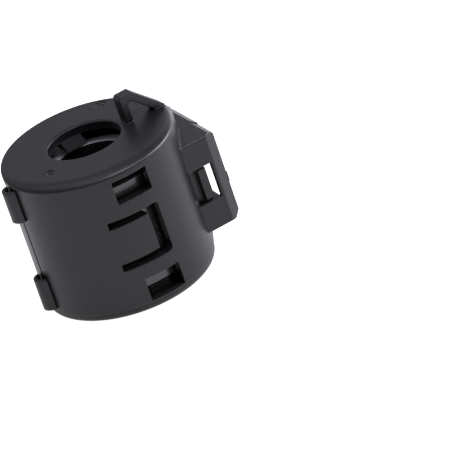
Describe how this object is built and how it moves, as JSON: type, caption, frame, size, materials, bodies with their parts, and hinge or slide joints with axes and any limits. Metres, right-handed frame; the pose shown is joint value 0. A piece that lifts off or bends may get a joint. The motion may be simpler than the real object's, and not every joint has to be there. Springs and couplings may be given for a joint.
{
  "type": "clip-on ferrite core",
  "caption": "Round clip-on ferrite suppressor: a hinged plastic case in two half shells, a ferrite half in each, with a snap latch and a tie loop.",
  "frame": {"origin": "centre of the cable hole in the case's plain end, on that end's outer face", "axes": "+Z along the cable towards the end with the tie loop, +X from the hinge to the latch, -Y towards the shell that carries the tie loop"},
  "size_m": [0.0372, 0.03, 0.032],
  "materials": {
    "case": "black moulded nylon with a fine spark-eroded texture",
    "ferrite": "sintered ferrite ceramic, dark grey, ground and slightly glossy"
  },
  "bodies": {
    "front_half": {"front_shell": "case", "front_core": "ferrite", "upper_hinge_strap": "case", "lower_hinge_strap": "case"},
    "rear_half": {"rear_shell": "case", "rear_core": "ferrite"}
  },
  "joints": [
    {"name": "case_hinge", "type": "hinge", "parent": "front_half", "child": "rear_half", "pos_m": [-0.01625, 0.0005, 0.0135], "axis": [0, 0, 1], "range_deg": [0, 165], "deforming": ["upper_hinge_strap", "lower_hinge_strap"]}
  ]
}
